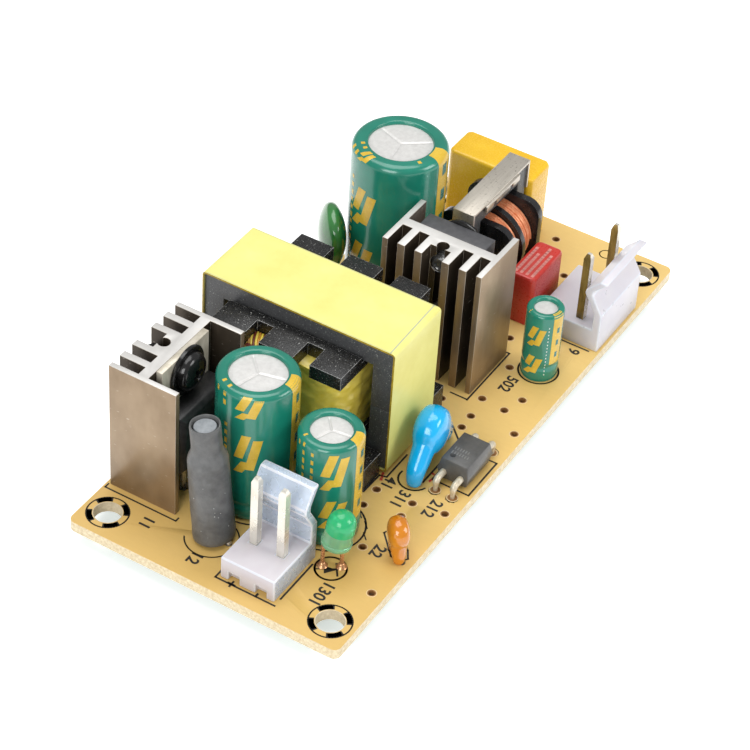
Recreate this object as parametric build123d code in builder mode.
"""Open-frame switching power supply on a single-sided board.

Millimetres. +X runs from the output end to the input end, +Y across the
board, +Z up. The origin is the centre of the four mounting holes on the
underside of the board.
"""
import os
from math import atan2, cos, degrees, radians, sin

from build123d import *

os.makedirs("parts", exist_ok=True)

# Board
board_length = 90.0
board_width = 40.0
board_thickness = 1.6
board_corner = 1.0
hole_inset_x = 3.9
hole_inset_y = 3.4
mounting_hole = 3.7
empty_hole = 0.9
lead_clearance = 0.3
top = board_thickness

# Solder and lead tips below the board
solder_foot = 0.95
solder_tip = 0.4
solder_depth = 2.0

# General lead wires
thin_wire = 0.5
wire = 0.7
wire_sides = 8
drill_sides = 10
solder_sides = 6

# Finned extrusion, used twice
sink_width = 15.0
sink_depth = 10.0
sink_height = 20.0
fin_depth = 3.9
web = 1.5
outer_fin = 0.8
inner_fin = 1.1
channel = 3.0
groove_block = 1.5
groove_height = 0.9
groove_radius = 0.85
peg_radius = 0.8
peg_height = 10.0
output_sink_x = -29.16
output_sink_y = 14.4
primary_sink_x = 9.7
primary_sink_y = -2.21
device_screw_height = 17.2

# Power devices on the extrusions
device_height = 15.6
device_pitch = 2.54
device_lead_width = 0.8
device_lead_depth = 0.5
device_lead_offset = 2.4
tab_width = 10.2
tab_thickness = 0.9
epoxy_width = 10.0
epoxy_height = 9.2
epoxy_depth = 3.2
epoxy_draft_edge = 0.6
moulded_width = 10.0
moulded_depth = 4.5
moulded_step = 2.7
moulded_low_height = 8.0
screw_radius = 1.4
screw_head_radius = 3.1
screw_head_height = 1.9
screw_slack = 0.35
screw_fit = 0.05
screw_length = 6.0
recess_size = 2.0
recess_depth = 0.9
rectifier_screw_turn = 30.0
mosfet_screw_turn = 15.0

# Transformer
trafo_x = -9.45
trafo_clearance = 1.34
core_span = 28.4
core_height = 19.4
core_depth = 10.9
core_leg = 2.95
core_yoke = 3.0
core_post_radius = 4.95
core_lift = 0.65
core_gap = 0.3
tape = 0.25
tape_width = 11.4
flange_length = 21.8
flange_width = 19.8
flange_thickness = 1.2
flange_ear = 0.85
finger_notch_width = 2.5
finger_notch_depth = 3.6
finger_notch_spread = 7.6
winding_length = 19.4
winding_width = 19.4
winding_corner = 5.0
wind_gap = 0.3
tube_wall = 0.8
rail_width = 4.0
rail_length = 27.2
rail_height = 3.7
trafo_pin = 0.7
trafo_pin_pitch = 5.0
trafo_pin_count = 5
trafo_pin_depth = 2.5

# Electrolytic capacitors
bulk_x, bulk_y = 18.5, 11.1
bulk_radius = 6.65
bulk_height = 24.85
bulk_pitch = 5.0
filter_x, filter_y = -27.65, 3.37
filter_radius = 5.33
filter_height = 20.75
filter_pitch = 5.0
output_x, output_y = -27.13, -7.16
output_radius = 4.25
output_height = 16.4
output_pitch = 3.5
supply_x, supply_y = 14.4, -14.9
supply_radius = 2.6
supply_height = 11.4
supply_pitch = 2.0
sleeve_lip = 0.45
can_top_depth = 0.5
can_top_share = 0.65
shoulder_share = 0.5
score_width = 0.3
score_depth = 0.15

# Pin headers: distances are taken from the outer face of the wall
header_base = 3.4
header_pin = 1.05
header_pin_height = 14.3
header_pin_point = 0.35
wall_top = 12.6
wall_kink = 9.6
wall_shoulder = 6.3
wall_lean = 1.7
wall_thickness = 1.2
wall_catch = 0.8
notch_width = 1.6
notch_height = 1.4
notch_depth = 0.8
output_header_x = -32.9
output_header_y = -5.3
output_header_width = 7.9
output_header_depth = 9.5
output_pin_offset = 4.8
output_header_pitch = 3.96
input_header_x = 28.2
input_header_y = -19.65
input_header_width = 11.8
input_header_depth = 9.5
input_pin_offset = 3.8
input_header_pitch = 7.92

# Fuse
fuse_x, fuse_y = 25.85, -7.45
fuse_length = 8.5
fuse_width = 4.0
fuse_height = 8.2
fuse_pitch = 5.08
fuse_edge = 0.5
fuse_lead = 0.6

# Film capacitor across the line
film_x, film_y = 39.4, 6.4
film_length = 13.5
film_width = 6.0
film_height = 12.0
film_pitch = 10.0
film_edge = 0.6
film_lead = 0.7

# Line choke
choke_x, choke_y = 28.2, 1.65
choke_core_length = 15.0
choke_core_width = 2.8
choke_leg = 2.3
choke_leg_spacing = 8.25
choke_axis_height = 6.1
choke_plate = 1.1
choke_plate_width = 11.4
choke_plate_corner = 2.4
choke_plate_rise = 5.9
choke_flange_radius = 5.6
choke_flange = 0.9
choke_bobbin_length = 9.0
choke_bobbin_shift = 0.7
choke_coil_radius = 5.0
choke_tube_radius = 2.9
choke_ridge = 0.5
choke_ridge_count = 3
choke_pin = 0.7
choke_pin_pitch_x = 10.0
choke_pin_pitch_y = 5.4
choke_foot_width = 2.2
choke_foot_length = 7.2
choke_foot_height = 2.2
clip_thickness = 0.4
clip_width = 3.3
clip_drop = 4.2
clip_lip = 1.0
clip_notch = 0.8

# Inrush thermistor
therm_x, therm_y = 12.3, 17.4
therm_angle = 40.0
therm_radius = 4.5
therm_thickness = 3.7
therm_rim = 1.0
therm_centre = 10.1
therm_pitch = 5.0
therm_leg_radius = 0.75
therm_leg_base = 1.2

# Safety capacitor between the two sides
safety_x, safety_y = -9.6, -11.87
safety_angle = 8.0
safety_radius = 3.9
safety_thickness = 3.7
safety_rim = 1.1
safety_centre = 6.4
safety_pitch = 10.0
safety_leg_radius = 1.0
safety_leg_base = 0.4
safety_leg_start = 2.0
safety_leg_rise = 4.6

# Optocoupler
opto_x, opto_y = -8.7, -16.6
opto_width = 6.6
opto_length = 4.6
opto_base = 0.3
opto_half = 1.7
opto_taper = 12.0
opto_lead_span = 10.6
opto_lead_pitch = 2.54
opto_lead_thickness = 0.3
opto_lead_wide = 1.2
opto_lead_narrow = 0.5
opto_lead_shoulder = 1.0

# Small dipped capacitor
dipped_x, dipped_y = -26.9, -17.4
dipped_angle = 60.0
dipped_radius = 2.3
dipped_thickness = 2.6
dipped_rim = 1.2
dipped_centre = 4.6
dipped_leg_radius = 0.64
dipped_leg_base = 0.6
dipped_pitch = 2.54

# Indicator lamp
led_x, led_y = -33.0, -11.7
led_radius = 1.87
led_lean = 7.0
led_turn = -61.0
led_lift = 3.7
led_body = 3.4
led_flange_radius = 2.0
led_flange_height = 0.7
led_spread = 2.4

# Output rod choke
rod_x, rod_y = -37.0, 3.2
rod_lean = 4.0
rod_lift = 0.4
rod_radius = 1.5
rod_sleeve_foot = 2.8
rod_sleeve_neck = 2.3
rod_sleeve_straight = 11.4
rod_sleeve_cone = 2.0
rod_sleeve_height = 18.4
rod_sleeve_wall = 0.35
rod_coil_radius = 2.35
rod_coil_start = 0.6
rod_coil_height = 10.4
rod_pitch = 4.4

# Surface parts on the solder side
smd_gap = 0.2
smd_foot = 0.7
smd_under = 0.4
bridge_x, bridge_y = 28.0, 14.0
bridge_length = 4.7
bridge_width = 3.9
bridge_height = 1.3
bridge_pitch = 2.5
control_x, control_y = 16.0, 1.5
control_length = 4.9
control_width = 3.9
control_height = 1.4
control_pitch = 1.27
reference_x, reference_y = -18.5, -17.8
reference_length = 2.9
reference_width = 1.3
reference_height = 1.0
reference_pitch = 1.9
snubber_x, snubber_y = 5.6, 12.6
snubber_length = 4.3
snubber_width = 2.6
snubber_height = 1.5
snubber_foot = 1.4
wide_foot = 0.7
narrow_foot = 0.4
chip_length = 2.0
chip_width = 1.25
chip_height = 0.55
chip_cap_height = 0.8
chip_pitch = 2.6
line_chips_x, line_chips_y = 19.9, 2.2
output_chips_x, output_chips_y = -20.5, -4.5
snubber_shift_x, snubber_shift_y = 10.4, 6.7
feedback_shift_x, feedback_shift_y = -14.4, -8.2


def pair(x, y, pitch, angle=0.0):
    """Two places a pitch apart on a line through the centre given."""
    dx = pitch / 2 * cos(radians(angle))
    dy = pitch / 2 * sin(radians(angle))
    return [(x - dx, y - dy), (x + dx, y + dy)]


def row(x, y, pitch, count, angle=0.0):
    """Evenly spaced places on a line through the centre given."""
    middle = (count - 1) / 2
    places = []
    for number in range(count):
        along = (number - middle) * pitch
        places.append((x + along * cos(radians(angle)), y + along * sin(radians(angle))))
    return places


# Places shared by the leads, the board and the solder
trafo_near = safety_y + safety_thickness / 2 + trafo_clearance + tape
trafo_y = trafo_near + core_span / 2
output_face = output_sink_y - sink_depth / 2 + sink_depth - fin_depth - web
primary_face = primary_sink_x - sink_depth / 2 + fin_depth + web
groove_from_tip = fin_depth - groove_height
output_peg = (output_sink_x, output_sink_y + sink_depth / 2 - groove_from_tip)
primary_peg = (primary_sink_x - sink_depth / 2 + groove_from_tip, primary_sink_y)
rectifier_spots = row(output_sink_x, output_face - device_lead_offset, device_pitch, 3)
mosfet_spots = row(primary_face + device_lead_offset, primary_sink_y, device_pitch, 3, 90)
bulk_spots = pair(bulk_x, bulk_y, bulk_pitch, 90)
filter_spots = pair(filter_x, filter_y, filter_pitch, 0)
output_spots = pair(output_x, output_y, output_pitch, 45)
supply_spots = pair(supply_x, supply_y, supply_pitch, 0)
output_pins_x = output_header_x - output_pin_offset
output_pin_spots = pair(output_pins_x, output_header_y, output_header_pitch, 90)
input_pins_y = input_header_y + input_pin_offset
input_pin_spots = pair(input_header_x, input_pins_y, input_header_pitch, 0)
fuse_spots = pair(fuse_x, fuse_y, fuse_pitch)
film_spots = pair(film_x, film_y, film_pitch, 90)
bobbin_x = choke_x + choke_bobbin_shift
choke_spots = (
    pair(bobbin_x, choke_y - choke_pin_pitch_y / 2, choke_pin_pitch_x)
    + pair(bobbin_x, choke_y + choke_pin_pitch_y / 2, choke_pin_pitch_x)
)
therm_spots = pair(therm_x, therm_y, therm_pitch, therm_angle)
safety_spots = pair(safety_x, safety_y, safety_pitch, safety_angle)
opto_rows = pair(opto_x, opto_y, opto_lead_span)
opto_spots = []
for side_x, side_y in opto_rows:
    opto_spots = opto_spots + pair(side_x, side_y, opto_lead_pitch, 90)
dipped_spots = pair(dipped_x, dipped_y, dipped_pitch, dipped_angle)
led_spots = pair(led_x, led_y, led_spread, led_turn)
rod_spots = pair(rod_x, rod_y, rod_pitch, 90)
rail_offset = tape_width / 2 + core_gap + rail_width / 2
trafo_spots = []
for side in (-1, 1):
    rail_x = trafo_x + side * rail_offset
    trafo_spots = trafo_spots + row(rail_x, trafo_y, trafo_pin_pitch, trafo_pin_count, 90)

wire_spots = bulk_spots + filter_spots + output_spots + supply_spots + fuse_spots
wire_spots = wire_spots + film_spots + therm_spots + safety_spots + dipped_spots
wire_spots = wire_spots + led_spots + rod_spots
blade_spots = rectifier_spots + mosfet_spots + opto_spots
square_spots = trafo_spots + choke_spots
peg_spots = [output_peg, primary_peg]
header_spots = output_pin_spots + input_pin_spots
square_hole = (max(trafo_pin, choke_pin) + lead_clearance) / 2
header_hole = (header_pin + lead_clearance) / 2
blade_hole = (device_lead_width + device_lead_depth + lead_clearance) / 2
wire_hole = (wire + lead_clearance) / 2

# Empty drilled places seen between the parts
empty_near_output = [(-17.7, -14.2), (-20.5, -14.2), (-18.1, -9.1), (-21.5, -9.15)]
empty_near_lamp = [(-28.0, -13.1), (-34.2, -18.25), (-17.0, -18.6)]
empty_in_middle = [(1.9, -7.0), (5.0, -11.5), (1.1, -12.0), (-1.5, -12.1)]
empty_at_edge = [(4.65, -15.1), (7.8, -16.1), (1.3, -18.5)]
empty_near_input = [(18.1, -8.4), (12.7, -11.4), (41.2, -3.05), (34.5, -8.0)]
empty_spots = empty_near_output + empty_near_lamp + empty_in_middle
empty_spots = empty_spots + empty_at_edge + empty_near_input


def bore(places, radius, sides, turn=0):
    """Drill straight through the board at every place."""
    with BuildSketch(Plane.XY) as marks:
        with Locations(*places):
            RegularPolygon(radius, sides, major_radius=False, rotation=turn)
    extrude(marks.sketch, amount=top, mode=Mode.SUBTRACT)


def wires(places, size, height):
    """Leads from the underside of the board up to a height."""
    with BuildSketch(Plane.XY) as marks:
        with Locations(*places):
            RegularPolygon(size / 2, wire_sides, major_radius=False)
    extrude(marks.sketch, amount=height)


def posts(places, size_x, size_y, base, height):
    """Square or flat leads standing on one level."""
    with Locations(*[(x, y, base) for x, y in places]):
        Box(size_x, size_y, height, align=(Align.CENTER, Align.CENTER, Align.MIN))


def block(x, y, z, size_x, size_y, size_z, mode=Mode.ADD):
    """Box placed by the centre of its footprint and its lower face."""
    with Locations((x, y, z)):
        Box(size_x, size_y, size_z, align=(Align.CENTER, Align.CENTER, Align.MIN), mode=mode)


def sink_section(plane):
    """Section of the extrusion, fin tips toward the plane's y axis."""
    tips = sink_depth / 2
    web_middle = tips - fin_depth - web / 2
    floor = tips - fin_depth
    first_fin = channel / 2 + inner_fin / 2
    free = sink_width / 2 - channel / 2 - 2 * inner_fin - outer_fin
    second_fin = first_fin + inner_fin + free / 2
    with BuildSketch(plane) as section:
        with Locations((0, web_middle)):
            Rectangle(sink_width, web)
        for side in (-1, 1):
            with Locations((side * (sink_width - outer_fin) / 2, 0)):
                Rectangle(outer_fin, sink_depth)
            with Locations((side * first_fin, tips - fin_depth / 2)):
                Rectangle(inner_fin, fin_depth)
            with Locations((side * second_fin, tips - fin_depth / 2)):
                Rectangle(inner_fin, fin_depth)
        with Locations((0, floor + groove_block / 2)):
            Rectangle(channel, groove_block)
        with Locations((0, floor + groove_height)):
            Circle(groove_radius, mode=Mode.SUBTRACT)
    return section.sketch


def sink_body(plane, across):
    """Extrusion standing on the board with a hole for the device screw."""
    extrude(sink_section(plane), amount=sink_height)
    spot = plane.origin + Vector(0, 0, device_screw_height)
    with Locations(Plane(origin=spot, z_dir=across)):
        Cylinder(screw_radius + screw_fit, sink_depth, mode=Mode.SUBTRACT)


def pan_screw(face, outward, recess_turn):
    """Pan head screw, its head seated on the face given."""
    seat = Plane(origin=face, z_dir=outward)
    with Locations(seat):
        Cylinder(screw_radius, screw_length, align=(Align.CENTER, Align.CENTER, Align.MAX))
        Cylinder(
            screw_head_radius,
            screw_head_height,
            align=(Align.CENTER, Align.CENTER, Align.MIN),
        )
    rim = edges().filter_by(GeomType.CIRCLE).sort_by(Axis(seat.origin, seat.z_dir))[-1]
    chamfer(rim, screw_head_height * 0.35)
    crown = seat.offset(screw_head_height)
    with Locations(crown * Location((0, 0, 0), (0, 0, recess_turn))):
        bottom = (Align.CENTER, Align.CENTER, Align.MAX)
        Box(recess_size, recess_size / 4, recess_depth, align=bottom, mode=Mode.SUBTRACT)
        Box(recess_size / 4, recess_size, recess_depth, align=bottom, mode=Mode.SUBTRACT)


def capacitor_body(x, y, radius, height):
    """Sleeved round body, its shoulder drawn in to the edge of the can top."""
    crown = top + height
    opening = radius * can_top_share
    slope = (radius - opening) * shoulder_share
    upright = Plane(origin=(x, y, 0), x_dir=(1, 0, 0), z_dir=(0, -1, 0))
    with BuildSketch(upright) as half:
        with BuildLine():
            Polyline(
                (0, top),
                (radius, top),
                (radius, crown - slope),
                (radius - slope * 0.3, crown - slope * 0.3),
                (radius - slope, crown),
                (opening, crown),
                (opening, crown - sleeve_lip - can_top_depth),
                (0, crown - sleeve_lip - can_top_depth),
                close=True,
            )
        make_face()
    revolve(half.sketch, axis=Axis((x, y, 0), (0, 0, 1)))


def capacitor_top(x, y, radius, height):
    """Exposed top of the can with a three-way score."""
    level = top + height - sleeve_lip
    opening = radius * can_top_share
    with Locations((x, y, level)):
        Cylinder(opening, can_top_depth, align=(Align.CENTER, Align.CENTER, Align.MAX))
    for turn in (90, 210, 330):
        with Locations(Location((x, y, level), (0, 0, turn))):
            Box(
                opening * 0.8,
                score_width,
                2 * score_depth,
                align=(Align.MIN, Align.CENTER, Align.CENTER),
                mode=Mode.SUBTRACT,
            )


def header_section(plane, depth):
    """Section of a friction-lock header: base, then a wall with a catch.

    The plane's x axis runs from the outer face of the wall to the pins.
    """
    crest = top + wall_top
    catch = top + wall_kink
    knee = top + wall_shoulder
    floor = top + header_base
    with BuildSketch(plane) as section:
        with BuildLine():
            Polyline(
                (0, top),
                (0, knee),
                (wall_lean, catch - wall_catch / 2),
                (wall_lean, catch + wall_catch / 2),
                (0, crest),
                (wall_thickness, crest),
                (wall_lean + wall_thickness, catch + wall_catch / 2),
                (wall_lean + wall_thickness, catch - wall_catch / 2),
                (wall_thickness, knee),
                (wall_thickness, floor),
                (depth, floor),
                (depth, top),
                close=True,
            )
        make_face()
    return section.sketch


def header_pins(places):
    """Square pins with bevelled points."""
    posts(places, header_pin, header_pin, 0, top + header_pin_height)
    chamfer(edges().group_by(Axis.Z)[-1], header_pin_point)


def lens(x, y, angle, centre, radius, thickness, rim):
    """Dipped disc standing on edge, thickest in the middle."""
    middle = Plane(
        origin=(x, y, top + centre),
        x_dir=(cos(radians(angle)), sin(radians(angle)), 0),
        z_dir=(-sin(radians(angle)), cos(radians(angle)), 0),
    )
    profile = Plane(origin=middle.origin, x_dir=middle.x_dir, z_dir=(0, 0, 1))
    half = thickness / 2
    edge = rim / 2
    flat = radius * 0.5
    with BuildSketch(profile) as section:
        with BuildLine():
            Polyline(
                (0, -half),
                (0, half),
                (flat, half),
                (radius, edge),
                (radius, -edge),
                (flat, -half),
                close=True,
            )
        make_face()
    revolve(section.sketch, axis=Axis(middle.origin, middle.z_dir))


def coated_leg(x, y, base, start, radius):
    """Straight coated leg that the wire leaves at the lower end."""
    with BuildSketch(Plane.XY.offset(base)) as mark:
        with Locations((x, y)):
            RegularPolygon(radius, wire_sides)
    extrude(mark.sketch, amount=start - base)


def smd_body(x, y, length, width, height):
    """Moulded package under the board, held off it by its leads."""
    block(x, y, -smd_gap - height, length, width, height)
    chamfer(edges().group_by(Axis.Z)[0], 0.2)


def smd_feet(x, y, width, pitch, count, size):
    """Flat feet on both long sides of a package."""
    reach = width / 2 + smd_foot / 2 - smd_under / 2
    for side in (-1, 1):
        places = row(x, y + side * reach, pitch, count)
        posts(places, size, smd_foot + smd_under, -smd_gap, smd_gap)


with BuildPart() as circuit_board:
    with BuildSketch(Plane.XY):
        RectangleRounded(board_length, board_width, board_corner)
    extrude(amount=board_thickness)
    span_x = board_length - 2 * hole_inset_x
    span_y = board_width - 2 * hole_inset_y
    with GridLocations(span_x, span_y, 2, 2):
        Hole(mounting_hole / 2)
    bore(empty_spots, empty_hole / 2, drill_sides)
    bore(wire_spots, wire_hole, wire_sides)
    bore(blade_spots, blade_hole, wire_sides)
    bore(square_spots, square_hole, 4, 45)
    bore(header_spots, header_hole, 4, 45)
    bore(peg_spots, peg_radius + lead_clearance / 2, wire_sides)
circuit_board.part.label = "circuit_board"
export_step(circuit_board.part, "parts/circuit_board.step")

joint_spots = wire_spots + blade_spots + square_spots + header_spots + peg_spots
with BuildPart() as solder_joints:
    with BuildSketch(Plane.XY):
        with Locations(*joint_spots):
            RegularPolygon(solder_foot, solder_sides)
    slope = degrees(atan2(solder_foot - solder_tip, solder_depth))
    extrude(amount=-solder_depth, taper=slope)
solder_joints.part.label = "solder_joints"
export_step(solder_joints.part, "parts/solder_joints.step")

# Output rectifier on its extrusion
output_plane = Plane(origin=(output_sink_x, output_sink_y, top))
with BuildPart() as output_heatsink:
    sink_body(output_plane, (0, 1, 0))
output_heatsink.part.label = "output_heatsink"
export_step(output_heatsink.part, "parts/output_heatsink.step")

device_base = top + sink_height - device_height
screw_level = top + device_screw_height
with BuildPart() as rectifier_tab:
    tab_middle = output_face - tab_thickness / 2
    block(output_sink_x, tab_middle, device_base, tab_width, tab_thickness, device_height)
    with Locations(Plane(origin=(output_sink_x, output_face, screw_level), z_dir=(0, 1, 0))):
        Cylinder(screw_radius + screw_slack, 4 * tab_thickness, mode=Mode.SUBTRACT)
rectifier_tab.part.label = "rectifier_tab"
export_step(rectifier_tab.part, "parts/rectifier_tab.step")

tab_front = output_face - tab_thickness
with BuildPart() as rectifier_body:
    body_middle = tab_front - epoxy_depth / 2
    block(output_sink_x, body_middle, device_base, epoxy_width, epoxy_depth, epoxy_height)
    front = rectifier_body.faces().sort_by(Axis.Y)[0]
    chamfer(front.edges(), epoxy_draft_edge)
rectifier_body.part.label = "rectifier_body"
export_step(rectifier_body.part, "parts/rectifier_body.step")

with BuildPart() as rectifier_leads:
    posts(rectifier_spots, device_lead_width, device_lead_depth, 0, device_base)
rectifier_leads.part.label = "rectifier_leads"
export_step(rectifier_leads.part, "parts/rectifier_leads.step")

with BuildPart() as rectifier_screw:
    pan_screw((output_sink_x, tab_front, screw_level), (0, -1, 0), rectifier_screw_turn)
rectifier_screw.part.label = "rectifier_screw"
export_step(rectifier_screw.part, "parts/rectifier_screw.step")

# Switching transistor on its extrusion
primary_plane = Plane(
    origin=(primary_sink_x, primary_sink_y, top), x_dir=(0, 1, 0), z_dir=(0, 0, 1)
)
with BuildPart() as primary_heatsink:
    sink_body(primary_plane, (1, 0, 0))
primary_heatsink.part.label = "primary_heatsink"
export_step(primary_heatsink.part, "parts/primary_heatsink.step")

with BuildPart() as mosfet_body:
    with BuildSketch(Plane.XZ.offset(-primary_sink_y - moulded_width / 2)):
        with BuildLine():
            shelf = device_base + moulded_low_height
            bevel = moulded_depth - moulded_step
            Polyline(
                (primary_face, device_base),
                (primary_face + moulded_depth, device_base),
                (primary_face + moulded_depth, shelf),
                (primary_face + moulded_step, shelf + bevel),
                (primary_face + moulded_step, device_base + device_height),
                (primary_face, device_base + device_height),
                close=True,
            )
        make_face()
    extrude(amount=moulded_width)
    with Locations(Plane(origin=(primary_face, primary_sink_y, screw_level), z_dir=(1, 0, 0))):
        Cylinder(screw_radius + screw_slack, 4 * moulded_step, mode=Mode.SUBTRACT)
mosfet_body.part.label = "mosfet_body"
export_step(mosfet_body.part, "parts/mosfet_body.step")

with BuildPart() as mosfet_leads:
    posts(mosfet_spots, device_lead_depth, device_lead_width, 0, device_base)
mosfet_leads.part.label = "mosfet_leads"
export_step(mosfet_leads.part, "parts/mosfet_leads.step")

with BuildPart() as mosfet_screw:
    pan_screw((primary_face + moulded_step, primary_sink_y, screw_level), (1, 0, 0), mosfet_screw_turn)
mosfet_screw.part.label = "mosfet_screw"
export_step(mosfet_screw.part, "parts/mosfet_screw.step")

with BuildPart() as heatsink_pegs:
    wires(peg_spots, 2 * peg_radius * cos(radians(180 / wire_sides)), top + peg_height)
heatsink_pegs.part.label = "heatsink_pegs"
export_step(heatsink_pegs.part, "parts/heatsink_pegs.step")

# Transformer
core_base = top + core_lift
core_split = core_base + core_height / 2


def core_half(outer_level, yoke_side):
    """One half of the core, from its yoke to the joint at mid height."""
    half = core_height / 2
    yoke_z = outer_level if yoke_side > 0 else outer_level - core_yoke
    block(trafo_x, trafo_y, yoke_z, core_depth, core_span, core_yoke)
    low = min(outer_level, core_split)
    for side in (-1, 1):
        leg_y = trafo_y + side * (core_span - core_leg) / 2
        block(trafo_x, leg_y, low, core_depth, core_leg, half)
    with Locations((trafo_x, trafo_y, low)):
        Cylinder(core_post_radius, half, align=(Align.CENTER, Align.CENTER, Align.MIN))


with BuildPart() as transformer_core_lower:
    core_half(core_base, 1)
transformer_core_lower.part.label = "transformer_core_lower"
export_step(transformer_core_lower.part, "parts/transformer_core_lower.step")

with BuildPart() as transformer_core_upper:
    core_half(core_base + core_height, -1)
transformer_core_upper.part.label = "transformer_core_upper"
export_step(transformer_core_upper.part, "parts/transformer_core_upper.step")

lower_flange = core_base + core_yoke
upper_flange = core_base + core_height - core_yoke - flange_thickness
tube_inner = core_post_radius + core_gap
tube_outer = tube_inner + tube_wall
with BuildPart() as transformer_bobbin:
    for level in (lower_flange, upper_flange):
        block(trafo_x, trafo_y, level, flange_length, flange_width, flange_thickness)
    with Locations((trafo_x, trafo_y, lower_flange)):
        span = upper_flange + flange_thickness - lower_flange
        Cylinder(tube_outer, span, align=(Align.CENTER, Align.CENTER, Align.MIN))
        Cylinder(
            tube_inner, span, align=(Align.CENTER, Align.CENTER, Align.MIN), mode=Mode.SUBTRACT
        )
    ear_length = (flange_length - tape_width) / 2 - core_gap
    for side in (-1, 1):
        ear_x = trafo_x + side * (flange_length - ear_length) / 2
        ear_top = upper_flange + flange_thickness
        block(ear_x, trafo_y, ear_top, ear_length, flange_width, flange_ear)
        rail_x = trafo_x + side * rail_offset
        rail_top = lower_flange + flange_thickness
        block(rail_x, trafo_y, top, rail_width, rail_length, rail_height)
        block(rail_x, trafo_y, top, rail_width, flange_width, rail_top - top)
        for spread in (-1, 1):
            notch_x = trafo_x + side * (flange_length / 2 - finger_notch_depth / 2)
            notch_y = trafo_y - 0.2 + spread * finger_notch_spread / 2
            notch_z = upper_flange - 1
            block(
                notch_x,
                notch_y,
                notch_z,
                finger_notch_depth,
                finger_notch_width,
                flange_thickness + flange_ear + 2,
                mode=Mode.SUBTRACT,
            )
    with Locations(*[(x, y, top) for x, y in trafo_spots]):
        Box(
            trafo_pin,
            trafo_pin,
            trafo_pin_depth,
            align=(Align.CENTER, Align.CENTER, Align.MIN),
            mode=Mode.SUBTRACT,
        )
transformer_bobbin.part.label = "transformer_bobbin"
export_step(transformer_bobbin.part, "parts/transformer_bobbin.step")

winding_base = lower_flange + flange_thickness
winding_span = upper_flange - winding_base


with BuildPart() as transformer_winding:
    with BuildSketch(Plane.XY.offset(winding_base)) as section:
        with Locations((trafo_x, trafo_y)):
            RectangleRounded(winding_length, winding_width, winding_corner)
            Circle(tube_outer + wind_gap, mode=Mode.SUBTRACT)
    extrude(section.sketch, amount=winding_span)
transformer_winding.part.label = "transformer_winding"
export_step(transformer_winding.part, "parts/transformer_winding.step")

with BuildPart() as core_tape:
    block(
        trafo_x,
        trafo_y,
        core_base - tape,
        tape_width,
        core_span + 2 * tape,
        core_height + 2 * tape,
    )
    block(
        trafo_x, trafo_y, core_base, tape_width, core_span, core_height, mode=Mode.SUBTRACT
    )
core_tape.part.label = "core_tape"
export_step(core_tape.part, "parts/core_tape.step")

with BuildPart() as transformer_pins:
    posts(trafo_spots, trafo_pin, trafo_pin, 0, top + trafo_pin_depth)
transformer_pins.part.label = "transformer_pins"
export_step(transformer_pins.part, "parts/transformer_pins.step")

# Electrolytic capacitors
with BuildPart() as bulk_capacitor_sleeve:
    capacitor_body(bulk_x, bulk_y, bulk_radius, bulk_height)
bulk_capacitor_sleeve.part.label = "bulk_capacitor_sleeve"
export_step(bulk_capacitor_sleeve.part, "parts/bulk_capacitor_sleeve.step")

with BuildPart() as bulk_capacitor_top:
    capacitor_top(bulk_x, bulk_y, bulk_radius, bulk_height)
bulk_capacitor_top.part.label = "bulk_capacitor_top"
export_step(bulk_capacitor_top.part, "parts/bulk_capacitor_top.step")

with BuildPart() as filter_capacitor_sleeve:
    capacitor_body(filter_x, filter_y, filter_radius, filter_height)
filter_capacitor_sleeve.part.label = "filter_capacitor_sleeve"
export_step(filter_capacitor_sleeve.part, "parts/filter_capacitor_sleeve.step")

with BuildPart() as filter_capacitor_top:
    capacitor_top(filter_x, filter_y, filter_radius, filter_height)
filter_capacitor_top.part.label = "filter_capacitor_top"
export_step(filter_capacitor_top.part, "parts/filter_capacitor_top.step")

with BuildPart() as output_capacitor_sleeve:
    capacitor_body(output_x, output_y, output_radius, output_height)
output_capacitor_sleeve.part.label = "output_capacitor_sleeve"
export_step(output_capacitor_sleeve.part, "parts/output_capacitor_sleeve.step")

with BuildPart() as output_capacitor_top:
    capacitor_top(output_x, output_y, output_radius, output_height)
output_capacitor_top.part.label = "output_capacitor_top"
export_step(output_capacitor_top.part, "parts/output_capacitor_top.step")

with BuildPart() as supply_capacitor_sleeve:
    capacitor_body(supply_x, supply_y, supply_radius, supply_height)
supply_capacitor_sleeve.part.label = "supply_capacitor_sleeve"
export_step(supply_capacitor_sleeve.part, "parts/supply_capacitor_sleeve.step")

with BuildPart() as supply_capacitor_top:
    capacitor_top(supply_x, supply_y, supply_radius, supply_height)
supply_capacitor_top.part.label = "supply_capacitor_top"
export_step(supply_capacitor_top.part, "parts/supply_capacitor_top.step")

with BuildPart() as straight_leads:
    wires(bulk_spots + filter_spots + output_spots, wire, top)
    wires(supply_spots, thin_wire, top)
    wires(film_spots, film_lead, top)
    wires(fuse_spots, fuse_lead, top)
straight_leads.part.label = "straight_leads"
export_step(straight_leads.part, "parts/straight_leads.step")

# Pin headers
with BuildPart() as output_header_housing:
    side_y = output_header_y + output_header_width / 2
    plane = Plane(origin=(output_header_x, side_y, 0), x_dir=(-1, 0, 0), z_dir=(0, 1, 0))
    extrude(header_section(plane, output_header_depth), amount=-output_header_width)
    posts_top = header_base
    with Locations(*[(x, y, top) for x, y in output_pin_spots]):
        upright = (Align.CENTER, Align.CENTER, Align.MIN)
        Box(header_pin, header_pin, posts_top, align=upright, mode=Mode.SUBTRACT)
    for side in (-1, 1):
        notch_x = output_header_x - output_header_depth + notch_depth / 2
        notch_y = output_header_y + side * output_header_pitch / 2
        block(
            notch_x, notch_y, top, notch_depth, notch_width, notch_height, mode=Mode.SUBTRACT
        )
output_header_housing.part.label = "output_header_housing"
export_step(output_header_housing.part, "parts/output_header_housing.step")

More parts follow.
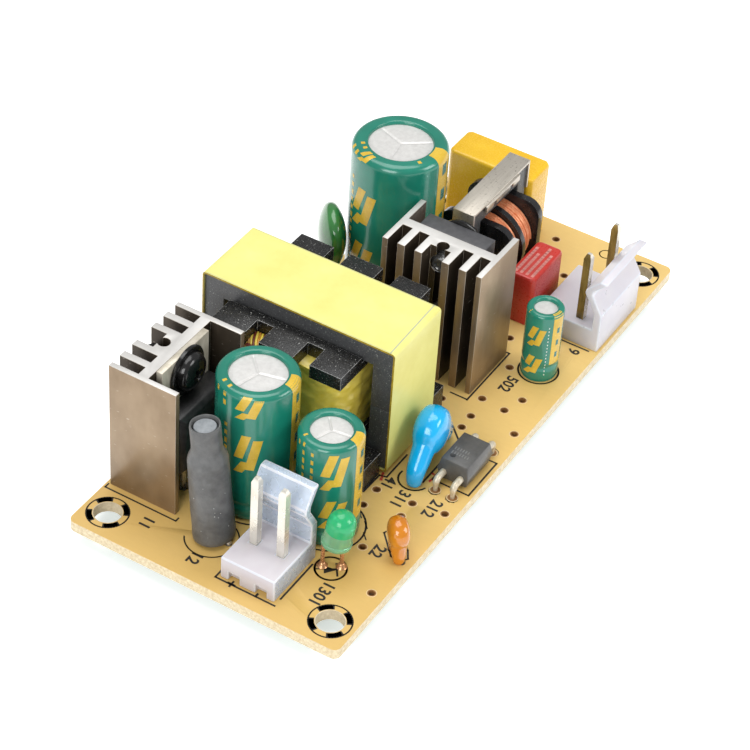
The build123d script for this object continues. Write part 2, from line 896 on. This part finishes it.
with BuildPart() as output_header_pins:
    header_pins(output_pin_spots)
output_header_pins.part.label = "output_header_pins"
export_step(output_header_pins.part, "parts/output_header_pins.step")

with BuildPart() as input_header_housing:
    side_x = input_header_x - input_header_width / 2
    plane = Plane(origin=(side_x, input_header_y, 0), x_dir=(0, 1, 0), z_dir=(1, 0, 0))
    extrude(header_section(plane, input_header_depth), amount=input_header_width)
    with Locations(*[(x, y, top) for x, y in input_pin_spots]):
        upright = (Align.CENTER, Align.CENTER, Align.MIN)
        Box(header_pin, header_pin, header_base, align=upright, mode=Mode.SUBTRACT)
    for side in (-1, 1):
        notch_x = input_header_x + side * input_header_pitch / 2
        notch_y = input_header_y + input_header_depth - notch_depth / 2
        block(
            notch_x, notch_y, top, notch_width, notch_depth, notch_height, mode=Mode.SUBTRACT
        )
input_header_housing.part.label = "input_header_housing"
export_step(input_header_housing.part, "parts/input_header_housing.step")

with BuildPart() as input_header_pins:
    header_pins(input_pin_spots)
input_header_pins.part.label = "input_header_pins"
export_step(input_header_pins.part, "parts/input_header_pins.step")

# Boxed parts on the line side
with BuildPart() as fuse_body:
    block(fuse_x, fuse_y, top, fuse_length, fuse_width, fuse_height)
    chamfer(fuse_body.edges().filter_by(Axis.Z), fuse_edge)
    chamfer(fuse_body.faces().sort_by(Axis.Z)[-1].edges(), fuse_edge / 2)
fuse_body.part.label = "fuse_body"
export_step(fuse_body.part, "parts/fuse_body.step")

with BuildPart() as film_capacitor_body:
    block(film_x, film_y, top, film_width, film_length, film_height)
    chamfer(film_capacitor_body.edges().filter_by(Axis.Z), film_edge)
    chamfer(film_capacitor_body.faces().sort_by(Axis.Z)[-1].edges(), film_edge / 2)
film_capacitor_body.part.label = "film_capacitor_body"
export_step(film_capacitor_body.part, "parts/film_capacitor_body.step")

# Line choke: closed core, bobbin on its lower leg, two coils and a clip
choke_axis = top + choke_axis_height
core_low = choke_axis - choke_leg / 2
core_high = core_low + choke_leg_spacing + choke_leg
core_tall = core_high - core_low
with BuildPart() as line_choke_core:
    block(choke_x, choke_y, core_low, choke_core_length, choke_core_width, core_tall)
    block(
        choke_x,
        choke_y,
        core_low + choke_leg,
        choke_core_length - 2 * choke_leg,
        choke_core_width,
        choke_leg_spacing - choke_leg,
        mode=Mode.SUBTRACT,
    )
line_choke_core.part.label = "line_choke_core"
export_step(line_choke_core.part, "parts/line_choke_core.step")


def choke_disc(x, radius, thickness, mode=Mode.ADD):
    """Disc around the lower leg of the choke core."""
    with Locations(Plane(origin=(x, choke_y, choke_axis), z_dir=(1, 0, 0))):
        Cylinder(radius, thickness, mode=mode)


plate_z = (top + choke_axis + choke_plate_rise) / 2
with BuildPart() as line_choke_bobbin:
    choke_disc(bobbin_x, choke_tube_radius, choke_bobbin_length)
    choke_disc(bobbin_x, choke_flange_radius, choke_flange)
    for step in (-1, 1):
        plate_x = bobbin_x + step * (choke_bobbin_length - choke_plate) / 2
        face = Plane(origin=(plate_x, choke_y, plate_z), x_dir=(0, 1, 0), z_dir=(1, 0, 0))
        with BuildSketch(face):
            RectangleRounded(choke_plate_width, 2 * (plate_z - top), choke_plate_corner)
        extrude(amount=choke_plate / 2, both=True)
        foot_x = bobbin_x + step * choke_pin_pitch_x / 2
        block(foot_x, choke_y, top, choke_foot_width, choke_foot_length, choke_foot_height)
    block(
        choke_x,
        choke_y,
        core_low,
        choke_core_length,
        choke_core_width,
        choke_leg,
        mode=Mode.SUBTRACT,
    )
    with Locations(*[(x, y, top) for x, y in choke_spots]):
        upright = (Align.CENTER, Align.CENTER, Align.MIN)
        Box(choke_pin, choke_pin, choke_foot_height, align=upright, mode=Mode.SUBTRACT)
line_choke_bobbin.part.label = "line_choke_bobbin"
export_step(line_choke_bobbin.part, "parts/line_choke_bobbin.step")

coil_length = (choke_bobbin_length - 2 * choke_plate - choke_flange) / 2
with BuildPart() as line_choke_windings:
    for step in (-1, 1):
        coil_x = bobbin_x + step * (choke_flange + coil_length) / 2
        start = coil_x - coil_length / 2
        ridge = coil_length / choke_ridge_count
        low = choke_coil_radius - choke_ridge
        profile = [(start, choke_tube_radius + wind_gap), (start, low)]
        for number in range(choke_ridge_count):
            profile.append((start + (number + 0.5) * ridge, choke_coil_radius))
            profile.append((start + (number + 1) * ridge, low))
        profile.append((start + coil_length, choke_tube_radius + wind_gap))
        side = Plane(origin=(0, choke_y, choke_axis), x_dir=(1, 0, 0), z_dir=(0, -1, 0))
        with BuildSketch(side) as section:
            with BuildLine():
                Polyline(*profile, close=True)
            make_face()
        revolve(section.sketch, axis=Axis((0, choke_y, choke_axis), (1, 0, 0)))
line_choke_windings.part.label = "line_choke_windings"
export_step(line_choke_windings.part, "parts/line_choke_windings.step")

with BuildPart() as line_choke_clip:
    clip_length = choke_core_length + 2 * clip_thickness
    block(choke_x, choke_y, core_high, clip_length, clip_width, clip_thickness)
    for step in (-1, 1):
        end_x = choke_x + step * (choke_core_length + clip_thickness) / 2
        block(end_x, choke_y, core_high - clip_drop, clip_thickness, clip_width, clip_drop)
        lip_y = choke_y + step * (choke_core_width / 2 + clip_thickness / 2 + 0.1)
        lip_span = choke_core_length * 0.62
        block(choke_x, lip_y, core_high - clip_lip, lip_span, clip_thickness, clip_lip)
        for turn in (-1, 1):
            nick_x = choke_x + turn * lip_span / 4
            nick_z = core_high - clip_lip
            block(
                nick_x, lip_y, nick_z, clip_notch, 1, clip_lip * 0.6, mode=Mode.SUBTRACT
            )
line_choke_clip.part.label = "line_choke_clip"
export_step(line_choke_clip.part, "parts/line_choke_clip.step")

with BuildPart() as line_choke_pins:
    posts(choke_spots, choke_pin, choke_pin, 0, top + choke_foot_height)
line_choke_pins.part.label = "line_choke_pins"
export_step(line_choke_pins.part, "parts/line_choke_pins.step")

# Dipped discs
with BuildPart() as thermistor_body:
    lens(
        therm_x, therm_y, therm_angle, therm_centre, therm_radius, therm_thickness, therm_rim
    )
    for leg_x, leg_y in therm_spots:
        leg_top = top + therm_centre - therm_radius / 2
        coated_leg(leg_x, leg_y, top + therm_leg_base, leg_top, therm_leg_radius)
thermistor_body.part.label = "thermistor_body"
export_step(thermistor_body.part, "parts/thermistor_body.step")

inner_span = 2 * (safety_radius - safety_leg_radius)
safety_inner = pair(safety_x, safety_y, inner_span, safety_angle)
with BuildPart() as safety_capacitor_body:
    lens(
        safety_x,
        safety_y,
        safety_angle,
        safety_centre,
        safety_radius,
        safety_thickness,
        safety_rim,
    )
    for (end_x, end_y), (inner_x, inner_y) in zip(safety_spots, safety_inner):
        bend_z = top + safety_leg_start
        coated_leg(end_x, end_y, top + safety_leg_base, bend_z, safety_leg_radius)
        start = Vector(inner_x, inner_y, top + safety_leg_rise)
        bend = Vector(end_x, end_y, bend_z - safety_leg_radius / 2)
        with BuildSketch(Plane(origin=bend, x_dir=(0, 1, 0), z_dir=start - bend)) as slant:
            RegularPolygon(safety_leg_radius, wire_sides)
        extrude(slant.sketch, amount=(start - bend).length)
safety_capacitor_body.part.label = "safety_capacitor_body"
export_step(safety_capacitor_body.part, "parts/safety_capacitor_body.step")

# Optocoupler
opto_split = top + opto_base + opto_half
with BuildPart() as optocoupler_body:
    with BuildSketch(Plane.XY.offset(opto_split)) as opto_waist:
        with Locations((opto_x, opto_y)):
            Rectangle(opto_width, opto_length)
    extrude(opto_waist.sketch, amount=opto_half, taper=opto_taper)
    extrude(opto_waist.sketch, amount=-opto_half, taper=opto_taper)
optocoupler_body.part.label = "optocoupler_body"
export_step(optocoupler_body.part, "parts/optocoupler_body.step")

with BuildPart() as optocoupler_leads:
    for side in (-1, 1):
        body_side = opto_x + side * opto_width / 2
        lead_x = opto_x + side * opto_lead_span / 2
        for turn in (-1, 1):
            lead_y = opto_y + turn * opto_lead_pitch / 2
            arm = abs(lead_x - body_side) + opto_lead_thickness / 2
            arm_z = opto_split - opto_lead_thickness / 2
            block(
                body_side + side * arm / 2,
                lead_y,
                arm_z,
                arm,
                opto_lead_wide,
                opto_lead_thickness,
            )
            shoulder = top + opto_lead_shoulder
            block(
                lead_x, lead_y, shoulder, opto_lead_thickness, opto_lead_wide, arm_z - shoulder
            )
            block(lead_x, lead_y, 0, opto_lead_thickness, opto_lead_narrow, arm_z)
    bends = edges().filter_by(Axis.Y).group_by(Axis.Z)[-1].sort_by(Axis.X)
    outer_bends = [bends[0], bends[1], bends[-2], bends[-1]]
    fillet(outer_bends, opto_lead_thickness * 0.9)
optocoupler_leads.part.label = "optocoupler_leads"
export_step(optocoupler_leads.part, "parts/optocoupler_leads.step")

# Small dipped capacitor
with BuildPart() as dipped_capacitor_body:
    lens(
        dipped_x,
        dipped_y,
        dipped_angle,
        dipped_centre,
        dipped_radius,
        dipped_thickness,
        dipped_rim,
    )
    for leg_x, leg_y in dipped_spots:
        leg_top = top + dipped_centre - dipped_radius / 2
        coated_leg(leg_x, leg_y, top + dipped_leg_base, leg_top, dipped_leg_radius)
dipped_capacitor_body.part.label = "dipped_capacitor_body"
export_step(dipped_capacitor_body.part, "parts/dipped_capacitor_body.step")

with BuildPart() as dipped_leads:
    wires(dipped_spots, thin_wire, top + dipped_leg_base)
    wires(therm_spots, wire, top + therm_leg_base)
    wires(safety_spots, wire, top + safety_leg_base)
dipped_leads.part.label = "dipped_leads"
export_step(dipped_leads.part, "parts/dipped_leads.step")

# Indicator lamp, leaning away from the corner of the board
lean = sin(radians(led_lean))
lean_x = lean * cos(radians(led_turn))
lean_y = lean * sin(radians(led_turn))
lamp_x = led_x + led_lift * lean_x
lamp_y = led_y + led_lift * lean_y
lamp_axis = (lean_x, lean_y, cos(radians(led_lean)))
lamp_plane = Plane(origin=(lamp_x, lamp_y, top + led_lift), z_dir=lamp_axis)
with BuildPart() as indicator_lens:
    with Locations(lamp_plane):
        upright = (Align.CENTER, Align.CENTER, Align.MIN)
        Cylinder(led_flange_radius, led_flange_height, align=upright)
        Cylinder(led_radius, led_body, align=upright)
    with Locations(lamp_plane.offset(led_body)):
        Cone(led_radius, led_radius * 0.8, led_radius * 0.6, align=upright)
    with Locations(lamp_plane.offset(led_body + led_radius * 0.6)):
        Cone(led_radius * 0.8, led_radius * 0.3, led_radius * 0.36, align=upright)
indicator_lens.part.label = "indicator_lens"
export_step(indicator_lens.part, "parts/indicator_lens.step")

with BuildPart() as indicator_leads:
    for lead_x, lead_y in led_spots:
        rise = (lead_x - lamp_x) * lean_x + (lead_y - lamp_y) * lean_y
        wires([(lead_x, lead_y)], thin_wire, top + led_lift - rise + 0.3)
    with Locations(lamp_plane):
        upright = (Align.CENTER, Align.CENTER, Align.MIN)
        Cylinder(led_flange_radius, led_body, align=upright, mode=Mode.SUBTRACT)
indicator_leads.part.label = "indicator_leads"
export_step(indicator_leads.part, "parts/indicator_leads.step")

# Output rod choke, leaning across the board
rod_axis = (0, sin(radians(rod_lean)), cos(radians(rod_lean)))
rod_plane = Plane(origin=(rod_x, rod_y, top + rod_lift), z_dir=rod_axis)
with BuildPart() as rod_choke_sleeve:
    with Locations(rod_plane):
        upright = (Align.CENTER, Align.CENTER, Align.MIN)
        Cylinder(rod_sleeve_foot, rod_sleeve_straight, align=upright)
    with Locations(rod_plane.offset(rod_sleeve_straight)):
        Cone(rod_sleeve_foot, rod_sleeve_neck, rod_sleeve_cone, align=upright)
    neck_start = rod_sleeve_straight + rod_sleeve_cone
    neck_length = rod_sleeve_height - neck_start
    with Locations(rod_plane.offset(neck_start)):
        Cylinder(rod_sleeve_neck, neck_length, align=upright)
    with Locations(rod_plane):
        through = rod_sleeve_foot - rod_sleeve_wall
        Cylinder(through, rod_sleeve_straight, align=upright, mode=Mode.SUBTRACT)
        throat = rod_sleeve_neck - rod_sleeve_wall
        Cylinder(throat, rod_sleeve_height, align=upright, mode=Mode.SUBTRACT)
rod_choke_sleeve.part.label = "rod_choke_sleeve"
export_step(rod_choke_sleeve.part, "parts/rod_choke_sleeve.step")

with BuildPart() as rod_choke_rod:
    with Locations(rod_plane):
        upright = (Align.CENTER, Align.CENTER, Align.MIN)
        Cylinder(rod_radius, rod_sleeve_height - 0.5, align=upright)
rod_choke_rod.part.label = "rod_choke_rod"
export_step(rod_choke_rod.part, "parts/rod_choke_rod.step")

with BuildPart() as rod_choke_winding:
    with Locations(rod_plane.offset(rod_coil_start)):
        upright = (Align.CENTER, Align.CENTER, Align.MIN)
        Cylinder(rod_coil_radius, rod_coil_height, align=upright)
        Cylinder(rod_radius, rod_coil_height, align=upright, mode=Mode.SUBTRACT)
rod_choke_winding.part.label = "rod_choke_winding"
export_step(rod_choke_winding.part, "parts/rod_choke_winding.step")

with BuildPart() as rod_choke_leads:
    wires(rod_spots, wire, top + rod_lift + 0.2)
    with Locations(rod_plane):
        upright = (Align.CENTER, Align.CENTER, Align.MIN)
        Cylinder(rod_coil_radius + 1, 5, align=upright, mode=Mode.SUBTRACT)
rod_choke_leads.part.label = "rod_choke_leads"
export_step(rod_choke_leads.part, "parts/rod_choke_leads.step")

# Surface parts on the solder side
with BuildPart() as bridge_body:
    smd_body(bridge_x, bridge_y, bridge_length, bridge_width, bridge_height)
bridge_body.part.label = "bridge_body"
export_step(bridge_body.part, "parts/bridge_body.step")

with BuildPart() as controller_body:
    smd_body(control_x, control_y, control_length, control_width, control_height)
controller_body.part.label = "controller_body"
export_step(controller_body.part, "parts/controller_body.step")

with BuildPart() as reference_body:
    smd_body(
        reference_x, reference_y, reference_length, reference_width, reference_height
    )
reference_body.part.label = "reference_body"
export_step(reference_body.part, "parts/reference_body.step")

with BuildPart() as snubber_diode_body:
    smd_body(snubber_x, snubber_y, snubber_length, snubber_width, snubber_height)
snubber_diode_body.part.label = "snubber_diode_body"
export_step(snubber_diode_body.part, "parts/snubber_diode_body.step")

with BuildPart() as surface_leads:
    smd_feet(bridge_x, bridge_y, bridge_width, bridge_pitch, 2, wide_foot)
    smd_feet(control_x, control_y, control_width, control_pitch, 4, narrow_foot)
    smd_feet(reference_x, reference_y, reference_width, reference_pitch, 2, narrow_foot)
    for side in (-1, 1):
        foot_x = snubber_x + side * (snubber_length / 2 + smd_foot / 2 - smd_under / 2)
        posts([(foot_x, snubber_y)], smd_foot + smd_under, snubber_foot, -smd_gap, smd_gap)
surface_leads.part.label = "surface_leads"
export_step(surface_leads.part, "parts/surface_leads.step")

chip_resistor_spots = row(line_chips_x, line_chips_y, chip_pitch, 3, 90)
chip_resistor_spots = chip_resistor_spots + row(
    output_chips_x, output_chips_y, chip_pitch, 3, 90
)
with BuildPart() as chip_resistors:
    with Locations(*[(x, y, -chip_height) for x, y in chip_resistor_spots]):
        Box(chip_length, chip_width, chip_height, align=(Align.CENTER, Align.CENTER, Align.MIN))
chip_resistors.part.label = "chip_resistors"
export_step(chip_resistors.part, "parts/chip_resistors.step")

snubber_x = trafo_x + snubber_shift_x
snubber_y = trafo_y + snubber_shift_y
feedback_x = trafo_x + feedback_shift_x
feedback_y = trafo_y + feedback_shift_y
chip_capacitor_spots = pair(snubber_x, snubber_y, chip_pitch, 90)
chip_capacitor_spots = chip_capacitor_spots + pair(feedback_x, feedback_y, chip_pitch)
with BuildPart() as chip_capacitors:
    with Locations(*[(x, y, -chip_cap_height) for x, y in chip_capacitor_spots]):
        Box(
            chip_length, chip_width, chip_cap_height, align=(Align.CENTER, Align.CENTER, Align.MIN)
        )
chip_capacitors.part.label = "chip_capacitors"
export_step(chip_capacitors.part, "parts/chip_capacitors.step")
